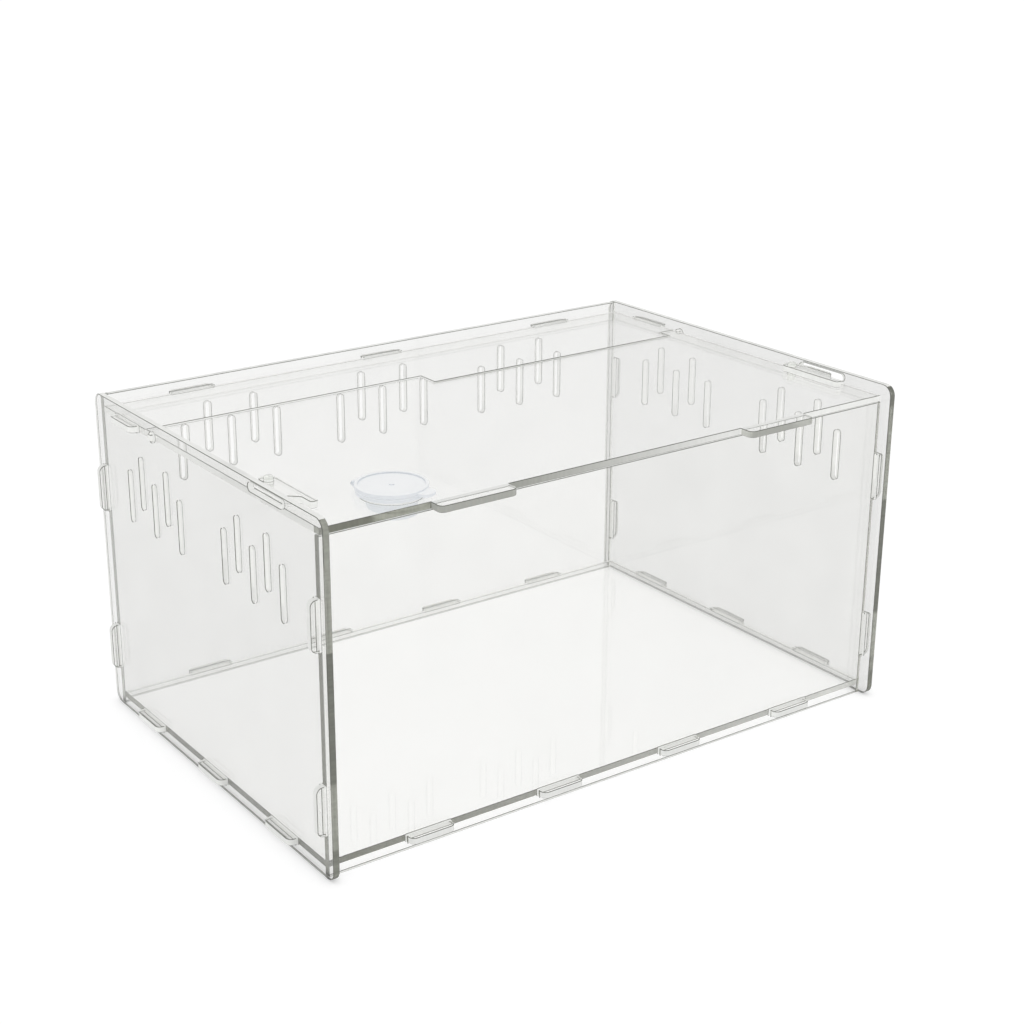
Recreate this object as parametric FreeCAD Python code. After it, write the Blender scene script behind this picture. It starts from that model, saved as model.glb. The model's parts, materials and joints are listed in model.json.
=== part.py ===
import FreeCAD
import Part
import math
import os

# Clear acrylic tab-and-slot box with a hinged lid, two cam latches and a feeding cup.
# Millimetres. X runs along the width, Y from front to back, Z up; the floor is Z = 0.

# Sheet and overall sizes
sheet = 3.0
width = 300.0
depth = 204.0
height = 154.0
corner_r = 5.0

# Where the panels stand
front_inset = 5.5
back_inset = 4.5
base_lift = 3.4
lid_drop = 5.0

# Clearances
butt_gap = 0.1
slot_play = 0.15
body_gap = 0.3
lid_side_gap = 0.5
turn_gap = 0.5
glue_gap = 0.05
running_gap = 0.05

# Tabs and their slots
tab_len = 22.0
tab_out = 3.3
tab_r = 2.8
slot_r = 0.4
base_pitch_x = 67.0
base_pitch_y = 61.0
wall_tab_low = 30.0
wall_tab_drop = 44.5
strip_pitch_x = 104.0
strip_tab_ahead = 26.0

# Vents: groups of five upright slots, every second one raised
vent_len = 24.4
vent_wide = 3.0
vent_pitch = 12.2
vent_count = 5
vent_step = 9.2
side_vent_drop = 53.0
side_group_pitch = 89.0
back_vent_drop = 48.2
back_group_pitch = 84.5

# Lid and the fixed strip behind it
tongue_len = 37.0
tongue_out = 7.0
tongue_x = 80.0
tongue_r = 2.6
pivot_ahead = 51.0
seam_left = 8.0
seam_right = 4.0
jog_x = -6.0
arm_wide = 9.0
arm_back = 2.6
ear_wide = 3.0
ear_out = 0.8
pivot_hole_r = 2.3

# Latches
pin_inboard = 6.0
pin_behind = 51.5
dowel_r = 1.9
dowel_below = 3.2
dowel_proud = 1.3
dowel_bevel = 0.3
lever_len = 33.0
lever_in = 3.7
lever_out = 0.2
lever_head = 4.2
head_r = 3.6
lever_tip_r = 1.2
cam_air = 0.5
cam_start = 6.0
cam_end = 20.5
cam_slope = 5.0
head_end = 2.5
curve_r = 3.0
latch_slot_back = 1.0
latch_slot_len = 28.0
latch_slot_air = 0.4

# Feeding cup and its cap
cup_land_side = 27.3
cup_land_front = 3.0
cup_deep = 8.0
cup_top_r = 12.2
cup_taper = 2.4
cup_wall = 1.2
cup_edge_r = 0.5
flange_over = 2.2
flange_t = 1.5
cap_over = 0.3
cap_t = 1.2
rim_wide = 1.4
rim_high = 0.7
plug_deep = 1.8
plug_wall = 0.9
plug_air = 0.2
dot_r = 1.1
dot_high = 0.35
pull_angle = -66.0
pull_out = 4.6
pull_wide = 8.0
pull_r = 3.0
fold_angle = 114.0
fold_out = 1.4
fold_wide = 8.0
fold_play = 0.15

# Planes that follow from the sizes above
x_out = width / 2
x_in = x_out - sheet
y_mid = (tongue_out - front_inset) / 2
y_front_face = y_mid - depth / 2 + front_inset
y_front_in = y_front_face + sheet
y_back_face = y_mid + depth / 2 - back_inset
y_back_in = y_back_face - sheet
z_base_mid = base_lift + sheet / 2
z_lid_top = height - lid_drop
z_lid = z_lid_top - sheet
z_lid_mid = z_lid + sheet / 2
tab_reach = butt_gap + sheet + tab_out
y_pivot = y_back_in - pivot_ahead
lid_x = x_in - lid_side_gap
lid_back_left = y_pivot + seam_left - turn_gap
strip_corner = math.hypot(seam_right, sheet / 2)
lid_back_right = y_pivot - strip_corner - body_gap
pin_x = x_in - pin_inboard
pin_y = y_front_face + pin_behind
z_lever = z_lid_top + body_gap
cup_end_r = cup_top_r - cup_taper
flange_r = cup_top_r + flange_over
cap_r = flange_r + cap_over
fold_r = cap_r + fold_out
pull_reach = cap_r + pull_out
cup_x = cup_land_side + cap_r - x_in
cup_y = y_front_face + cup_land_front + cap_r
z_flange = z_lid_top + body_gap
z_flange_top = z_flange + flange_t
z_cap = z_flange_top + body_gap
z_cup = z_lid_top - cup_deep
z_cup_in = z_cup + cup_wall
z_plug = z_cap - plug_deep
plug_r = (cup_top_r - cup_wall - plug_air
          - cup_taper * (z_flange_top - z_plug) / (z_flange_top - z_cup_in))
z_cap_top = z_cap + cap_t
z_fold = z_flange_top + body_gap / 2

base_tabs_x = [k * base_pitch_x for k in (-1.5, -0.5, 0.5, 1.5)]
base_tabs_y = [y_mid + k * base_pitch_y for k in (-1, 0, 1)]
strip_tabs_x = [k * strip_pitch_x for k in (-1, 0, 1)]
strip_tab_y = y_back_in - strip_tab_ahead
wall_tab_z = (wall_tab_low, height - wall_tab_drop)
side_vent_z = height - side_vent_drop
back_vent_z = height - back_vent_drop
tiny = 1e-6


def flat(u, v):
    return FreeCAD.Vector(u, v, 0)


def on_yz(x):
    return lambda p: FreeCAD.Vector(x, p.x, p.y)


def on_xz(y):
    return lambda p: FreeCAD.Vector(p.x, y, p.y)


def on_xy(z):
    return lambda p: FreeCAD.Vector(p.x, p.y, z)


def rounded_corner(before, here, after, r):
    # Start, middle and end of the arc that rounds one corner
    a = (before - here).normalize()
    b = (after - here).normalize()
    half = a.getAngle(b) / 2
    bisector = (a + b).normalize()
    start = here + a * (r / math.tan(half))
    end = here + b * (r / math.tan(half))
    middle = here + bisector * (r / math.sin(half) - r)
    return start, middle, end


def outline(corners, put):
    # Closed wire through (u, v, radius) corners, laid on a plane by put
    spots = [flat(u, v) for u, v, r in corners]
    count = len(corners)
    bends = []
    for i in range(count):
        r = corners[i][2]
        if r > 0:
            bends.append(rounded_corner(spots[i - 1], spots[i], spots[(i + 1) % count], r))
        else:
            bends.append((spots[i], None, spots[i]))
    edges = []
    for i in range(count):
        start, middle, end = bends[i]
        if middle is not None:
            edges.append(Part.Arc(put(start), put(middle), put(end)).toShape())
        onward = bends[(i + 1) % count][0]
        if (onward - end).Length > tiny:
            edges.append(Part.makeLine(put(end), put(onward)))
    return Part.Wire(edges)


def box_corners(u, v, wide, high, r):
    a = wide / 2
    b = high / 2
    return [(u - a, v - b, r), (u + a, v - b, r), (u + a, v + b, r), (u - a, v + b, r)]


def hole(u, v, r, put):
    edge = Part.Circle(flat(u, v), flat(0, 0) + FreeCAD.Vector(0, 0, 1), r)
    quarter = [edge.value(k * math.pi / 2) for k in range(4)]
    first = Part.Arc(put(quarter[0]), put(quarter[1]), put(quarter[2])).toShape()
    second = Part.Arc(put(quarter[2]), put(quarter[3]), put(quarter[0])).toShape()
    return Part.Wire([first, second])


def plate(outer, cuts, push):
    # Sheet cut to the outer wire and the wires inside it, push thick
    face = Part.makeFace([outer] + cuts, "Part::FaceMakerBullseye")
    return face.extrude(push)


def tabs(a, b, centres, long=tab_len, reach=tab_reach, r=tab_r):
    # Corners of the tabs that stand out to the right of the edge from a to b
    along = (b - a).normalize()
    out = flat(along.y, -along.x)
    corners = []
    for c in sorted(centres, key=lambda c: c * (along.x + along.y)):
        foot = flat(c, a.y) if abs(along.x) > abs(along.y) else flat(a.x, c)
        near = foot - along * (long / 2)
        far = foot + along * (long / 2)
        corners.append((near.x, near.y, 0))
        corners.append((near.x + out.x * reach, near.y + out.y * reach, r))
        corners.append((far.x + out.x * reach, far.y + out.y * reach, r))
        corners.append((far.x, far.y, 0))
    return corners


def tab_slot(u, v, put, upright):
    long = tab_len + 2 * slot_play
    thick = sheet + 2 * slot_play
    size = (thick, long) if upright else (long, thick)
    return outline(box_corners(u, v, size[0], size[1], slot_r), put)


def vents(u, v, put):
    # One group of vent slots centred on u, the low ones starting at v
    wires = []
    for i in range(vent_count):
        at_u = u + (i - (vent_count - 1) / 2) * vent_pitch
        at_v = v + vent_len / 2 + (vent_step if i % 2 else 0)
        wires.append(outline(box_corners(at_u, at_v, vent_wide, vent_len, vent_wide / 2), put))
    return wires


def side_panel(x):
    put = on_yz(x)
    outer = outline(box_corners(y_mid, height / 2, depth, height, corner_r), put)
    cuts = [tab_slot(y, z_base_mid, put, False) for y in base_tabs_y]
    for z in wall_tab_z:
        cuts.append(tab_slot(y_front_face + sheet / 2, z, put, True))
        cuts.append(tab_slot(y_back_in + sheet / 2, z, put, True))
    cuts.append(tab_slot(strip_tab_y, z_lid_mid, put, False))
    cuts.append(hole(y_pivot, z_lid_mid, pivot_hole_r, put))
    slot_y = pin_y + latch_slot_back - latch_slot_len / 2
    slot_high = sheet + 2 * latch_slot_air
    latch = box_corners(slot_y, z_lever + sheet / 2, latch_slot_len, slot_high, slot_high / 2)
    cuts.append(outline(latch, put))
    for k in (-1, 1):
        cuts += vents(y_mid + k * side_group_pitch / 2, side_vent_z, put)
    return plate(outer, cuts, FreeCAD.Vector(sheet, 0, 0))


def wall_outline(top, put):
    # Front or back wall between the sides, with two tabs at each end
    end = x_in - butt_gap
    low_left = flat(-end, 0)
    low_right = flat(end, 0)
    up_right = flat(end, top)
    up_left = flat(-end, top)
    corners = [(-end, 0, 0), (end, 0, 0)]
    corners += tabs(low_right, up_right, wall_tab_z)
    corners += [(end, top, 0), (-end, top, 0)]
    corners += tabs(up_left, low_left, wall_tab_z)
    return outline(corners, put)


def front_panel():
    put = on_xz(y_front_face)
    cuts = [tab_slot(x, z_base_mid, put, False) for x in base_tabs_x]
    return plate(wall_outline(z_lid - body_gap, put), cuts, FreeCAD.Vector(0, sheet, 0))


def back_panel():
    put = on_xz(y_back_in)
    cuts = [tab_slot(x, z_base_mid, put, False) for x in base_tabs_x]
    cuts += [tab_slot(x, z_lid_mid, put, False) for x in strip_tabs_x]
    for k in (-1, 0, 1):
        cuts += vents(k * back_group_pitch, back_vent_z, put)
    return plate(wall_outline(height, put), cuts, FreeCAD.Vector(0, sheet, 0))


def base_panel():
    x = x_in - butt_gap
    front = y_front_in + butt_gap
    back = y_back_in - butt_gap
    corners = [(-x, front, 0)]
    corners += tabs(flat(-x, front), flat(x, front), base_tabs_x)
    corners.append((x, front, 0))
    corners += tabs(flat(x, front), flat(x, back), base_tabs_y)
    corners.append((x, back, 0))
    corners += tabs(flat(x, back), flat(-x, back), base_tabs_x)
    corners.append((-x, back, 0))
    corners += tabs(flat(-x, back), flat(-x, front), base_tabs_y)
    return plate(outline(corners, on_xy(base_lift)), [], FreeCAD.Vector(0, 0, sheet))


def rear_top_strip():
    # Fixed strip; its front edge steps forward at the jog and is cut back round the right-hand ear
    x = x_in - butt_gap
    back = y_back_in - butt_gap
    left = y_pivot + seam_left
    right = y_pivot - seam_right
    cut_x = lid_x - arm_wide - turn_gap
    cut_y = y_pivot + math.hypot(arm_back, sheet / 2) + body_gap
    step_x = jog_x + turn_gap / 2
    corners = [(-x, left, 0), (step_x, left, 0), (step_x, right, 0), (cut_x, right, 0)]
    corners += [(cut_x, cut_y, 0), (x, cut_y, 0)]
    corners += tabs(flat(x, cut_y), flat(x, back), [strip_tab_y])
    corners.append((x, back, 0))
    corners += tabs(flat(x, back), flat(-x, back), strip_tabs_x)
    corners.append((-x, back, 0))
    corners += tabs(flat(-x, back), flat(-x, left), [strip_tab_y])
    return plate(outline(corners, on_xy(z_lid)), [], FreeCAD.Vector(0, 0, sheet))


def lid_panel():
    # Lid with two front tongues, an ear at each end of the pivot line and the stepped back edge
    reach = lid_side_gap + sheet + ear_out
    step_x = jog_x - turn_gap / 2
    arm_y = y_pivot + arm_back
    arm_x = lid_x - arm_wide
    front_left = flat(-lid_x, y_front_face)
    front_right = flat(lid_x, y_front_face)
    back_left = flat(-lid_x, lid_back_left)
    corners = [(-lid_x, y_front_face, 0)]
    corners += tabs(front_left, front_right, [-tongue_x, tongue_x], tongue_len, tongue_out, tongue_r)
    corners.append((lid_x, y_front_face, 0))
    corners += tabs(front_right, flat(lid_x, arm_y), [y_pivot], ear_wide, reach, 0)
    corners += [(lid_x, arm_y, 0), (arm_x, arm_y, 0), (arm_x, lid_back_right, 0)]
    corners += [(step_x, lid_back_right, 0), (step_x, lid_back_left, 0), (-lid_x, lid_back_left, 0)]
    corners += tabs(back_left, front_left, [y_pivot], ear_wide, reach, 0)
    put = on_xy(z_lid)
    cuts = [hole(cup_x, cup_y, cup_top_r + turn_gap, put)]
    for side in (-1, 1):
        cuts.append(hole(side * pin_x, pin_y, dowel_r + running_gap, put))
    return plate(outline(corners, put), cuts, FreeCAD.Vector(0, 0, sheet))


def latch_lever(side):
    # Flat cam lever; u runs forward from the dowel, w outward to the side panel
    cam = pin_inboard - cam_air
    shape = [(-lever_head, -lever_in, head_r), (lever_len, -lever_in, lever_tip_r)]
    shape += [(lever_len, -lever_out, lever_tip_r), (cam_end + cam_slope, -lever_out, curve_r)]
    shape += [(cam_end, cam, curve_r), (cam_start, cam, curve_r)]
    shape += [(head_end, lever_in, curve_r), (-lever_head, lever_in, head_r)]
    corners = [(side * (pin_x + w), pin_y - u, r) for u, w, r in shape]
    put = on_xy(z_lever)
    bore = hole(side * pin_x, pin_y, dowel_r + glue_gap, put)
    return plate(outline(corners, put), [bore], FreeCAD.Vector(0, 0, sheet))


def latch_dowel(side):
    low = z_lid - dowel_below
    high = z_lever + sheet + dowel_proud
    rod = Part.makeCylinder(dowel_r, high - low, FreeCAD.Vector(side * pin_x, pin_y, low))
    rings = [e for e in rod.Edges if e.Curve.TypeId == "Part::GeomCircle"]
    return rod.makeChamfer(dowel_bevel, rings)


def turned(corners):
    # Solid of revolution about the cup's axis from (radius, z) corners
    put = on_xz(cup_y)
    face = Part.makeFace([outline([(cup_x + r, z, e) for r, z, e in corners], put)],
                         "Part::FaceMakerBullseye")
    return face.revolve(FreeCAD.Vector(cup_x, cup_y, 0), FreeCAD.Vector(0, 0, 1), 360)


def arm_out(angle, near, far, wide, r, low, high):
    # Flat arm from the cup's axis outward at an angle
    corners = [(near, -wide / 2, 0), (far, -wide / 2, r), (far, wide / 2, r), (near, wide / 2, 0)]
    arm = plate(outline(corners, on_xy(low)), [], FreeCAD.Vector(0, 0, high - low))
    arm.rotate(FreeCAD.Vector(0, 0, 0), FreeCAD.Vector(0, 0, 1), angle)
    arm.translate(FreeCAD.Vector(cup_x, cup_y, 0))
    return arm


def feeding_cup():
    bowl = turned([
        (0, z_cup, 0), (cup_end_r, z_cup, cup_wall), (cup_top_r, z_flange, cup_edge_r),
        (flange_r, z_flange, cup_edge_r), (flange_r, z_flange_top, cup_edge_r),
        (cup_top_r - cup_wall, z_flange_top, 0), (cup_end_r - cup_wall, z_cup_in, cup_edge_r),
        (0, z_cup_in, 0)])
    fold = arm_out(fold_angle, cup_top_r, fold_r, fold_wide, 0, z_flange + cup_edge_r,
                   z_fold - fold_play)
    return bowl.fuse(fold).removeSplitter()


def feeding_cup_cap():
    lip = z_cap_top + rim_high
    disc = turned([
        (0, z_cap, 0), (plug_r - plug_wall, z_cap, 0), (plug_r - plug_wall, z_plug, 0),
        (plug_r, z_plug, 0), (plug_r, z_cap, 0), (cap_r, z_cap, cup_edge_r), (cap_r, lip, cup_edge_r),
        (cap_r - rim_wide, lip, cup_edge_r), (cap_r - rim_wide, z_cap_top, 0),
        (dot_r, z_cap_top, 0), (dot_r, z_cap_top + dot_high, 0), (0, z_cap_top + dot_high, 0)])
    near = cap_r - rim_wide
    pull = arm_out(pull_angle, near, pull_reach, pull_wide, pull_r, z_cap, z_cap_top)
    fold = arm_out(fold_angle, near, fold_r - fold_play, fold_wide, 0, z_cap, z_cap_top)
    return disc.fuse([pull, fold]).removeSplitter()


def write_parts():
    nodes = {
        "left_side_panel": side_panel(-x_out),
        "right_side_panel": side_panel(x_in),
        "front_panel": front_panel(),
        "back_panel": back_panel(),
        "base_panel": base_panel(),
        "rear_top_strip": rear_top_strip(),
        "lid_panel": lid_panel(),
        "latch_lever_left": latch_lever(-1),
        "latch_lever_right": latch_lever(1),
        "latch_dowel_left": latch_dowel(-1),
        "latch_dowel_right": latch_dowel(1),
        "feeding_cup": feeding_cup(),
        "feeding_cup_cap": feeding_cup_cap(),
    }
    os.makedirs("parts", exist_ok=True)
    for name, shape in nodes.items():
        shape.exportStep("parts/" + name + ".step")
        b = shape.BoundBox
        print(name, shape.isValid(), len(shape.Solids), round(shape.Volume, 1),
              [round(v, 2) for v in (b.XMin, b.XMax, b.YMin, b.YMax, b.ZMin, b.ZMax)])
    print("pivot", y_pivot, z_lid_mid, "pin", pin_x, pin_y, "cup", cup_x, cup_y, "fold z", z_fold)
    print("inside y", y_front_in, y_back_in, "x", x_in)


write_parts()
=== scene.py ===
import json
import math

import bpy
from mathutils import Matrix, Vector


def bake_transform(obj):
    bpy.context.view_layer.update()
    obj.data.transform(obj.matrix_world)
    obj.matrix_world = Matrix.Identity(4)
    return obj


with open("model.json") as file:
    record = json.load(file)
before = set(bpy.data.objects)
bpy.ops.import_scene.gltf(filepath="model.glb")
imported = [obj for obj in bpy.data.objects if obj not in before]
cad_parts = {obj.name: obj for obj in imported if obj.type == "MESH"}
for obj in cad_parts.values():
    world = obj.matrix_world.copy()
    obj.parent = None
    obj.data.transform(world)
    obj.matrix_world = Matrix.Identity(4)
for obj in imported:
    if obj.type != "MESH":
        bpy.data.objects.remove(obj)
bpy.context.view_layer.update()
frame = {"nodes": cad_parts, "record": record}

# Sizes are in metres
MM = 0.001

# Refractive index of acrylic and of polypropylene
PLASTIC_IOR = 1.49

# Where the cuts with painted shade lie, from the middle of the box and from the floor
SIDE_FRONT_Y = -98.5 * MM
SIDE_FOOT_Z = 0.6 * MM
WALL_END_X = (146 * MM, 149.5 * MM)
FLAT_FRONT_Y = -92 * MM
TONGUE_Y = -96.2 * MM
FLAT_END_X = (146 * MM, 148 * MM)
BASE_LEVEL_Z = 10 * MM
LID_LEVEL_Z = 100 * MM
SEAM_Y = (38.5 * MM, 41 * MM)
SEAM_LEFT_X = -8 * MM
BASE_FADE_X = (-140 * MM, 150 * MM)
LID_FADE_X = (-110 * MM, 50 * MM)

# The lowest part of a sheet, which can hold light back and leave a fine contact shadow
CONTACT_Z = 3 * MM

# How much painted shade the lid's tongues and the right end of the base get beside the left end
TONGUE_SHADE, RIGHT_END_SHADE = 0.6, 0.25

# How square-on a surface is to the sheet: from polished face to cut edge, and from cut edge to arris
FACE_TO_CUT = (0.95, 0.85)
CUT_TO_ARRIS = (0.3, 0.4)

# Roughness of the cuts, and how clear the pale ones and the ones with painted shade are
CUT_ROUGH, PALE_CLEAR, SHADED_CUT_CLEAR = 0.18, 0.15, 0.4

# Grain of the surfaces: burn lines and smears on sheet, draw lines on rod, flow and mould grain on the cup
BURN_LINE, SMEAR, DRAW_LINE, FLOW_MARK, MOULD_GRAIN = 0.9 * MM, 30 * MM, 0.6 * MM, 9 * MM, 0.7 * MM
BURN_STRETCH, DRAW_STRETCH = 0.08, 0.05

# Fine corner that the laser leaves, and the mesh clean-up before it is cut
ARRIS = 0.25 * MM
SAME_POINT = 0.001 * MM
FLAT_ANGLE, CORNER_ANGLE, CRISP_ANGLE = 0.01, 0.7, 0.5

# Fold strap of the cup: width, thickness, radius of its loop, how far its ends go in, and its soft edge
STRAP_WIDE, STRAP_THICK, STRAP_LOOP, STRAP_SUNK = 7.4 * MM, 0.35 * MM, 0.75 * MM, 0.4 * MM
STRAP_STEPS, STRAP_SOFT, STRAP_REACH = 14, 0.06 * MM, 1.0 * MM

# Light: the floor's own glow and the sky's even light; reflections see a dimmer floor and a sky that runs
# from a dim front to a brighter back and top
FLOOR_GLOW, FLOOR_MIRRORED, SKY_LIGHT = 0.4, 0.02, 0.92
SKY_FRONT, SKY_BACK, SKY_TOP = 0.5, 0.76, 0.8

# Photograph: its width and the fitted focal length and middle column, in pixels
PHOTO_WIDE, PHOTO_FOCAL, PHOTO_MIDDLE = 1024, 1842.1, 430
SENSOR_WIDE = 36.0


def linear(code):
    """An sRGB hex colour as linear RGBA."""
    parts = [int(code[i:i + 2], 16) / 255 for i in (0, 2, 4)]
    return [c / 12.92 if c <= 0.04045 else ((c + 0.055) / 1.055) ** 2.4 for c in parts] + [1.0]


def node(tree, kind, inputs=None, **settings):
    """Adds one node with its settings; an input is a value or the socket it comes from."""
    made = tree.nodes.new(kind)
    for key, value in settings.items():
        setattr(made, key, value)
    for key, value in (inputs or {}).items():
        if isinstance(value, bpy.types.NodeSocket):
            tree.links.new(value, made.inputs[key])
        else:
            made.inputs[key].default_value = value
    return made


def reckon(tree, operation, first, second=0.0):
    return node(tree, "ShaderNodeMath", {0: first, 1: second}, operation=operation).outputs[0]


def over(tree, value, limit):
    """1 where a coordinate is past a limit."""
    return reckon(tree, "GREATER_THAN", value, limit)


def under(tree, value, limit):
    """1 where a coordinate is short of a limit."""
    return reckon(tree, "LESS_THAN", value, limit)


def between(tree, value, limits):
    """1 where a coordinate lies between two limits."""
    return minus(tree, over(tree, value, limits[0]), over(tree, value, limits[1]))


def either(tree, first, second):
    return reckon(tree, "MAXIMUM", first, second)


def minus(tree, value, taken):
    return reckon(tree, "SUBTRACT", value, taken)


def times(tree, value, factor):
    return reckon(tree, "MULTIPLY", value, factor)


def size_of(tree, value):
    return reckon(tree, "ABSOLUTE", value)


def ramp(tree, value, start, end, low=0.0, high=1.0):
    """Runs from low to high while a value runs from start to end."""
    return node(tree, "ShaderNodeMapRange", {
        "Value": value, "From Min": start, "From Max": end, "To Min": low, "To Max": high}).outputs[0]


def noise(tree, place, size, detail=1.0):
    """Soft random grain of a size in metres."""
    return node(tree, "ShaderNodeTexNoise", {
        "Vector": place, "Scale": 1 / size, "Detail": detail}).outputs[0]


def mix_colour(tree, factor, first, second):
    """A colour between two; each is a hex code or a socket."""
    ends = [linear(c) if isinstance(c, str) else c for c in (first, second)]
    return node(tree, "ShaderNodeMix", {0: factor, 6: ends[0], 7: ends[1]}, data_type="RGBA").outputs[2]


def mix_level(tree, factor, first, second):
    """A number between two."""
    return node(tree, "ShaderNodeMix", {0: factor, 2: first, 3: second}, data_type="FLOAT").outputs[0]


def own_place(tree):
    return node(tree, "ShaderNodeTexCoord").outputs["Object"]


def drawn_out(tree, place, stretch):
    """Coordinates stretched along an axis, for grain that runs as lines."""
    return node(tree, "ShaderNodeMapping", {"Vector": place, "Scale": stretch}).outputs[0]


def local_normal(tree):
    """The way a surface faces, in the piece's own axes."""
    shape = node(tree, "ShaderNodeNewGeometry")
    turned = node(tree, "ShaderNodeVectorTransform", {0: shape.outputs["True Normal"]},
                  vector_type="NORMAL", convert_from="WORLD", convert_to="OBJECT")
    return node(tree, "ShaderNodeSeparateXYZ", {0: turned.outputs[0]})


def new_material(name):
    made = bpy.data.materials.new(name)
    made.use_nodes = True
    made.node_tree.nodes.clear()
    return made, made.node_tree


def let_light_through(tree, skin, tint):
    """Lets the light of sky and floor pass thin plastic in straight lines; the skin is what is seen."""
    path = node(tree, "ShaderNodeLightPath")
    clear = node(tree, "ShaderNodeBsdfTransparent", {"Color": tint})
    light = either(tree, path.outputs["Is Shadow Ray"], path.outputs["Is Diffuse Ray"])
    both = node(tree, "ShaderNodeMixShader", {0: light, 1: skin.outputs[0], 2: clear.outputs[0]})
    node(tree, "ShaderNodeOutputMaterial", {"Surface": both.outputs[0]})


def cast_acrylic(name, across, long_cuts, face, cut_shade, foot):
    """Cast acrylic sheet: clear polished faces, and laser-cut edges that scatter light. Light runs far
    inside the sheet to the long outer cuts, which look grey-olive; that grey-olive is painted shade in
    their colour. Slots and tab ends look pale."""
    made, tree = new_material(name)
    place = own_place(tree)
    where = node(tree, "ShaderNodeSeparateXYZ", {0: place})
    square_on = size_of(tree, local_normal(tree).outputs[across])
    edge = ramp(tree, square_on, *FACE_TO_CUT)
    arris = ramp(tree, square_on, *CUT_TO_ARRIS)
    # Burn lines of the laser, drawn out along the thickness
    stretch = [1.0, 1.0, 1.0]
    stretch["XYZ".index(across)] = BURN_STRETCH
    lines = noise(tree, drawn_out(tree, place, stretch), BURN_LINE)
    pale = mix_colour(tree, lines, "F0F1ED", "FDFDFB")
    # Painted shade: the long cuts get a grey-olive colour for the dark look that light running through the
    # sheet gives them
    long_cut = long_cuts(tree, where)
    cut = mix_colour(tree, long_cut, pale, mix_colour(tree, lines, *cut_shade))
    # The arris, the fine corner between cut and face, throws light aside; its grey outline is painted
    # shade in its colour
    drawn = mix_colour(tree, arris, cut, "7C7E77")
    # Faint smears on the polished faces, in each sheet's own grey, which is painted shade
    polished = mix_colour(tree, noise(tree, place, SMEAR), *face)
    clear_cut = mix_level(tree, long_cut, PALE_CLEAR, SHADED_CUT_CLEAR)
    skin = node(tree, "ShaderNodeBsdfPrincipled", {
        "Base Color": mix_colour(tree, edge, polished, drawn),
        "Roughness": mix_level(tree, edge, 0.0, CUT_ROUGH),
        "IOR": PLASTIC_IOR,
        "Transmission Weight": mix_level(tree, edge, 1.0, clear_cut)})
    low = under(tree, where.outputs["Z"], CONTACT_Z)
    let_light_through(tree, skin, mix_colour(tree, low, "FDFDFD", foot))
    return made


def side_front(tree, where):
    """Where painted shade goes on the side panels: their front edges, and their lower edges on the floor.
    """
    front = under(tree, where.outputs["Y"], SIDE_FRONT_Y)
    return either(tree, front, under(tree, where.outputs["Z"], SIDE_FOOT_Z))


def wall_ends(tree, where):
    """Where painted shade goes on the front and back panels: their upright ends, where they meet the
    sides, but not their tabs.
    """
    return between(tree, size_of(tree, where.outputs["X"]), WALL_END_X)


def flat_edges(tree, where):
    """Where painted shade goes on the lid and base: their front edges, the base's ends and the right
    part of the seam behind the lid, all with less painted shade to the right, where the lid's edge is
    clear; the lid's tongues less, and the tabs not at all."""
    past = under(tree, where.outputs["Y"], TONGUE_Y)
    front = minus(tree, under(tree, where.outputs["Y"], FLAT_FRONT_Y), past)
    high = over(tree, where.outputs["Z"], LID_LEVEL_Z)
    tongues = times(tree, times(tree, past, high), TONGUE_SHADE)
    behind = times(tree, between(tree, where.outputs["Y"], SEAM_Y), high)
    seam = times(tree, behind, over(tree, where.outputs["X"], SEAM_LEFT_X))
    ends = between(tree, size_of(tree, where.outputs["X"]), FLAT_END_X)
    base = times(tree, either(tree, front, ends), under(tree, where.outputs["Z"], BASE_LEVEL_Z))
    fade = ramp(tree, where.outputs["X"], *BASE_FADE_X, 1.0, RIGHT_END_SHADE)
    edge = times(tree, either(tree, base, seam), fade)
    lid_fade = ramp(tree, where.outputs["X"], *LID_FADE_X, 1.0, 0.0)
    lid = times(tree, times(tree, front, high), lid_fade)
    return either(tree, either(tree, edge, lid), tongues)


def acrylic_rod(name):
    """Extruded acrylic rod: clear round sides with faint draw lines along its length."""
    made, tree = new_material(name)
    lines = noise(tree, drawn_out(tree, own_place(tree), [1.0, 1.0, DRAW_STRETCH]), DRAW_LINE)
    skin = node(tree, "ShaderNodeBsdfPrincipled", {
        "Base Color": linear("FAFBF8"), "Roughness": ramp(tree, lines, 0.0, 1.0, 0.01, 0.06),
        "IOR": PLASTIC_IOR, "Transmission Weight": 0.5})
    let_light_through(tree, skin, linear("EEF0EC"))
    return made


def frosted_polypropylene(name):
    """Moulded natural polypropylene: milky and faintly bluish, with painted shade that makes the upright
    walls greyer than the tops, as light comes from above, and a fine satin grain from the mould."""
    made, tree = new_material(name)
    place = own_place(tree)
    grain = noise(tree, place, MOULD_GRAIN, detail=2.0)
    milk = mix_colour(tree, noise(tree, place, FLOW_MARK), "FBFCFD", "FEFFFF")
    # Painted shade: upright walls get a greyer colour than surfaces facing up
    upright = ramp(tree, local_normal(tree).outputs["Z"], 0.9, 0.2)
    relief = node(tree, "ShaderNodeBump", {"Height": grain, "Strength": 0.12, "Distance": 0.03 * MM})
    skin = node(tree, "ShaderNodeBsdfPrincipled", {
        "Base Color": mix_colour(tree, upright, milk, "E7EAED"),
        "Roughness": ramp(tree, grain, 0.0, 1.0, 0.3, 0.45),
        "Normal": relief.outputs[0],
        "IOR": PLASTIC_IOR, "Transmission Weight": 0.12})
    let_light_through(tree, skin, linear("EEF0F2"))
    return made


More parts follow.
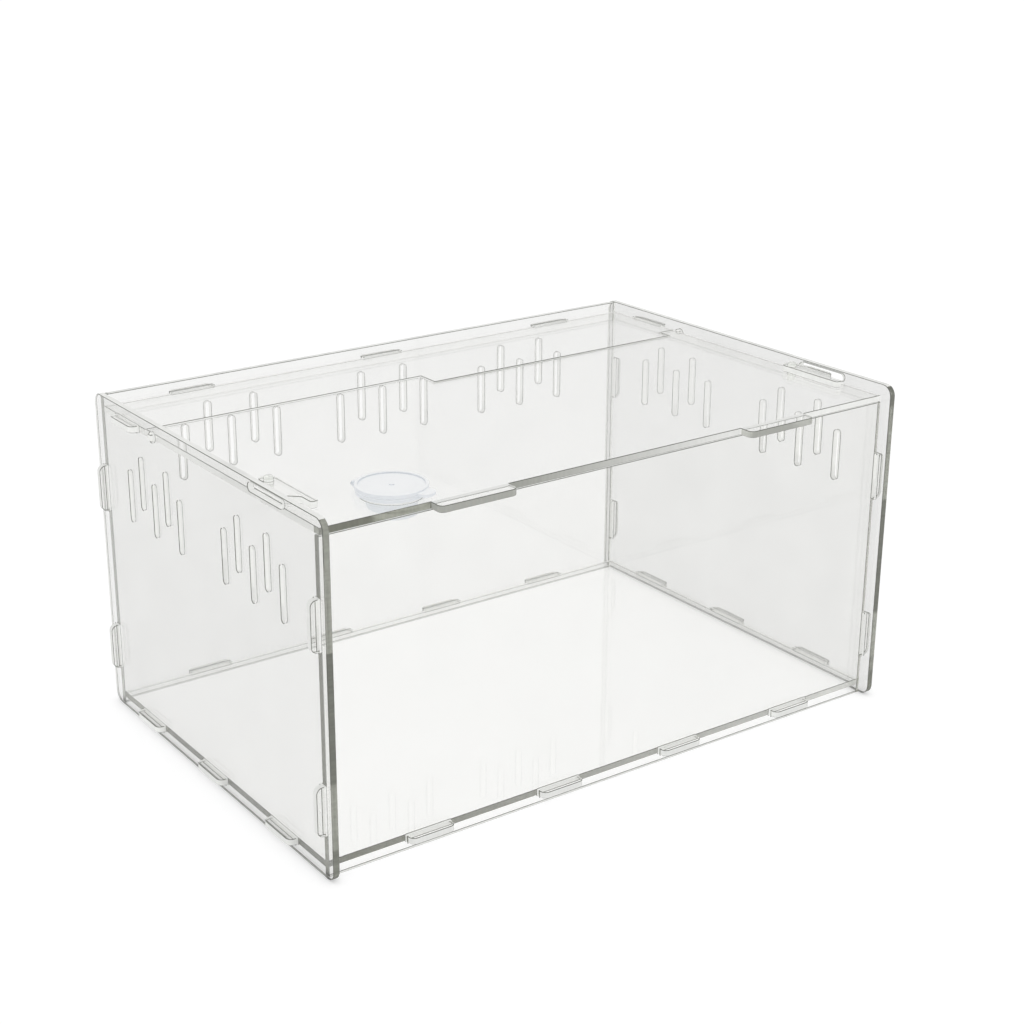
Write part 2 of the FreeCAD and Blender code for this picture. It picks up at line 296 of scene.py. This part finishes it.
def fine_arris(name):
    """Takes the knife edge off a cut sheet, as the laser leaves it, with crisp flat faces beside it."""
    stack = frame["nodes"][name].modifiers
    weld = stack.new("weld", "WELD")
    weld.merge_threshold = SAME_POINT
    flat = stack.new("flat", "DECIMATE")
    flat.decimate_type = "DISSOLVE"
    flat.angle_limit = FLAT_ANGLE
    bevel = stack.new("arris", "BEVEL")
    bevel.width = ARRIS
    bevel.segments = 1
    bevel.limit_method = "ANGLE"
    bevel.angle_limit = CORNER_ANGLE
    bevel.use_clamp_overlap = False
    bevel.loop_slide = False
    crisp = stack.new("crisp", "EDGE_SPLIT")
    crisp.split_angle = CRISP_ANGLE
    crisp.use_edge_sharp = False


def dress(name, material):
    """Gives a CAD node its material."""
    slots = frame["nodes"][name].data.materials
    slots.clear()
    slots.append(material)


def fold_strap(material):
    """Thin fold that joins cup and cap in one moulding, looped round behind the rim."""
    hinge = next(j for j in frame["record"]["behaviour"]["joints"] if j["name"] == "cap_flip")
    centre, along, up = Vector(hinge["pos_m"]), Vector(hinge["axis"]).normalized(), Vector((0, 0, 1))
    out = along.cross(up)
    bpy.ops.object.select_all(action="DESELECT")
    bpy.ops.mesh.primitive_plane_add(
        size=1.0, location=centre - up * STRAP_LOOP - out * STRAP_SUNK,
        rotation=Matrix((along, up, out)).transposed().to_euler())
    strap = bpy.context.object
    strap.name = "cup_fold_strap"
    strap.scale = (STRAP_WIDE, STRAP_THICK, 1.0)
    bpy.ops.object.transform_apply(location=True, rotation=True, scale=True)
    bpy.ops.object.mode_set(mode="EDIT")
    bpy.ops.mesh.select_all(action="SELECT")
    bpy.ops.mesh.extrude_region_move(TRANSFORM_OT_translate={"value": out * STRAP_SUNK})
    bpy.ops.mesh.spin(steps=STRAP_STEPS, angle=math.pi, center=centre, axis=along)
    bpy.ops.mesh.extrude_region_move(TRANSFORM_OT_translate={"value": out * -STRAP_SUNK})
    bpy.ops.mesh.select_all(action="SELECT")
    bpy.ops.mesh.remove_doubles(threshold=SAME_POINT)
    bpy.ops.mesh.normals_make_consistent(inside=False)
    bpy.ops.object.mode_set(mode="OBJECT")
    soft = strap.modifiers.new("moulded_edges", "BEVEL")
    soft.width = STRAP_SOFT
    soft.segments = 2
    soft.angle_limit = CORNER_ANGLE
    bpy.ops.object.modifier_apply(modifier=soft.name)
    bpy.ops.object.shade_smooth()
    strap.data.materials.append(material)
    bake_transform(strap)


def dress_all():
    """One kind of sheet all round; the tint of each is painted shade, set by how grey it looks from the
    front, and so are the grey and olive colours of its long cuts. The side sheets carry the box and draw a
    contact shadow."""
    # Painted shade for the long cuts: grey and olive colours, darker than the pale short cuts
    grey, faint = ("7E8076", "9C9E94"), ("C4C6BE", "D8DAD3")
    olive, pale_olive = ("6C6E60", "8C8E7E"), ("85877A", "A2A496")
    dark, light = "6A6A68", "FDFDFD"
    # Painted shade: each sheet's face tint, greyer on the right and back sheets
    left = cast_acrylic("cast_acrylic_left_sheet", "X", side_front, ("F1F1F0", "F6F6F5"), grey, dark)
    right = cast_acrylic("cast_acrylic_right_sheet", "X", side_front, ("E2E2E1", "EAEAE9"), grey, dark)
    front = cast_acrylic("cast_acrylic_front_sheet", "Y", wall_ends, ("FCFCFB", "FFFFFE"), olive, light)
    back = cast_acrylic("cast_acrylic_back_sheet", "Y", wall_ends, ("EEEEED", "F4F4F3"), faint, light)
    flats = cast_acrylic(
        "cast_acrylic_flat_sheet", "Z", flat_edges, ("FEFEFD", "FFFFFE"), pale_olive, light)
    rod = acrylic_rod("extruded_acrylic_rod")
    milky = frosted_polypropylene("moulded_polypropylene")
    sheets = {
        left: ("left_side_panel",),
        right: ("right_side_panel",),
        front: ("front_panel",),
        back: ("back_panel",),
        flats: ("base_panel", "rear_top_strip", "lid_panel", "latch_lever_left", "latch_lever_right")}
    for material, names in sheets.items():
        for name in names:
            dress(name, material)
            fine_arris(name)
    for name in ("latch_dowel_left", "latch_dowel_right"):
        dress(name, rod)
    for name in ("feeding_cup", "feeding_cup_cap"):
        dress(name, milky)
    fold_strap(milky)


def mirrored_only(tree, path):
    """1 for rays off a polished face; rays through the acrylic don't count."""
    return minus(tree, path.outputs["Is Glossy Ray"], path.outputs["Is Transmission Ray"])


def studio_floor():
    """Wide white floor; it shows as white to the camera and through the acrylic, keeps a faint shadow, and
    is dimmer in reflections, as the darker room in front of such a table is."""
    bpy.ops.object.select_all(action="DESELECT")
    bpy.ops.mesh.primitive_plane_add(size=12.0, location=(0, 0, -0.2 * MM))
    floor = bpy.context.object
    floor.name = "studio_floor"
    made, tree = new_material("white_paper_floor")
    mirrored = mirrored_only(tree, node(tree, "ShaderNodeLightPath"))
    paper = node(tree, "ShaderNodeBsdfDiffuse", {"Color": linear("D9D9D9")})
    glow = node(tree, "ShaderNodeEmission", {
        "Color": linear("FFFFFF"), "Strength": ramp(tree, mirrored, 0.0, 1.0, FLOOR_GLOW, FLOOR_MIRRORED)})
    both = node(tree, "ShaderNodeAddShader", {0: paper.outputs[0], 1: glow.outputs[0]})
    node(tree, "ShaderNodeOutputMaterial", {"Surface": both.outputs[0]})
    floor.data.materials.append(made)


def studio_world():
    """White to the camera and even in its light; reflections see a bright back and top and a dimmer
    room in front."""
    world = bpy.data.worlds.new("studio_world")
    bpy.context.scene.world = world
    world.use_nodes = True
    tree = world.node_tree
    tree.nodes.clear()
    way = node(tree, "ShaderNodeTexCoord")
    split = node(tree, "ShaderNodeSeparateXYZ", {0: way.outputs["Generated"]})
    back = ramp(tree, split.outputs["Y"], -0.5, 0.5, SKY_FRONT, SKY_BACK)
    top = ramp(tree, split.outputs["Z"], 0.45, 0.9, 0.0, SKY_TOP)
    path = node(tree, "ShaderNodeLightPath")
    direct = ramp(tree, mirrored_only(tree, path), 0.0, 1.0, SKY_LIGHT, 0.0)
    strength = either(
        tree, either(tree, either(tree, back, top), direct), path.outputs["Is Camera Ray"])
    sky = node(tree, "ShaderNodeBackground", {"Color": linear("FFFFFF"), "Strength": strength})
    node(tree, "ShaderNodeOutputWorld", {"Surface": sky.outputs[0]})


def photo_camera():
    """Camera at the photograph's angle, fitted to the edges of the box."""
    data = bpy.data.cameras.new("photo_camera")
    camera = bpy.data.objects.new("photo_camera", data)
    bpy.context.collection.objects.link(camera)
    forward = Vector((0.51594, 0.78309, -0.34724)).normalized()
    up = Vector((0.20015, 0.28394, 0.93772))
    right = forward.cross(up).normalized()
    up = right.cross(forward)
    turn = Matrix((right, up, -forward)).transposed()
    camera.matrix_world = Matrix.Translation((-0.4652, -0.65177, 0.39138)) @ turn.to_4x4()
    data.sensor_width = SENSOR_WIDE
    data.lens = PHOTO_FOCAL / PHOTO_WIDE * SENSOR_WIDE
    data.shift_x = (PHOTO_WIDE / 2 - PHOTO_MIDDLE) / PHOTO_WIDE
    data.clip_end = 50.0
    bpy.context.scene.camera = camera


def light_paths():
    """Enough bounces for light to cross every sheet of the box."""
    cycles = bpy.context.scene.cycles
    cycles.max_bounces = 16
    cycles.transmission_bounces = 16
    cycles.glossy_bounces = 8
    cycles.transparent_max_bounces = 24
    cycles.caustics_refractive = False
    cycles.caustics_reflective = False


dress_all()
studio_floor()
studio_world()
photo_camera()
light_paths()
bpy.context.scene.view_settings.view_transform = "Standard"
